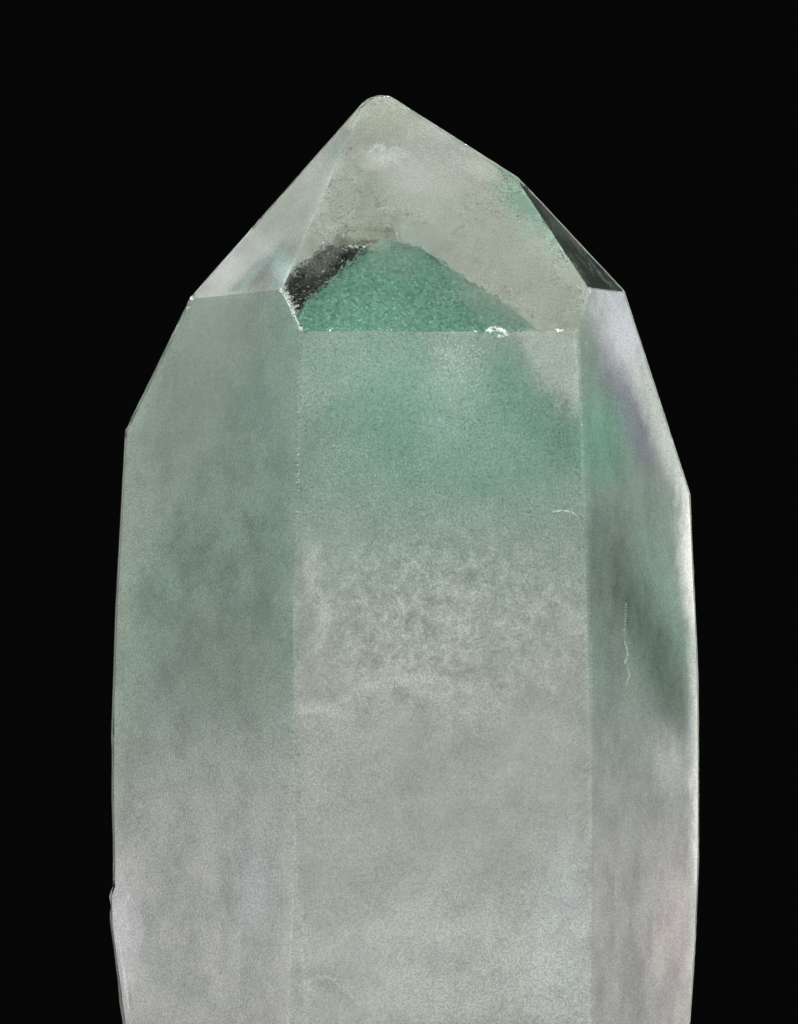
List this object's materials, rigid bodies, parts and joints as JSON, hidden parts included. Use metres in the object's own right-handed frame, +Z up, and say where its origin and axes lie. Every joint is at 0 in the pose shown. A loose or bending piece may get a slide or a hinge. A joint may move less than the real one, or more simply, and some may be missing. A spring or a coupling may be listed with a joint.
{
  "type": "quartz crystal point with fuchsite phantom",
  "caption": "Natural six-sided quartz point with a green fuchsite phantom inside, a six-faced tip, chipped edges and a sawn flat base to stand on.",
  "frame": {"origin": "middle of the sawn base, at the bottom centre of the bounding box", "axes": "+Z is up, along the crystal's length; -Y is the front, the broad prism face seen in the picture; +X is to the right"},
  "size_m": [0.0298, 0.0283, 0.0617],
  "materials": {
    "quartz": "polished"
  },
  "bodies": {
    "root": {"quartz_crystal": "quartz"}
  },
  "joints": []
}
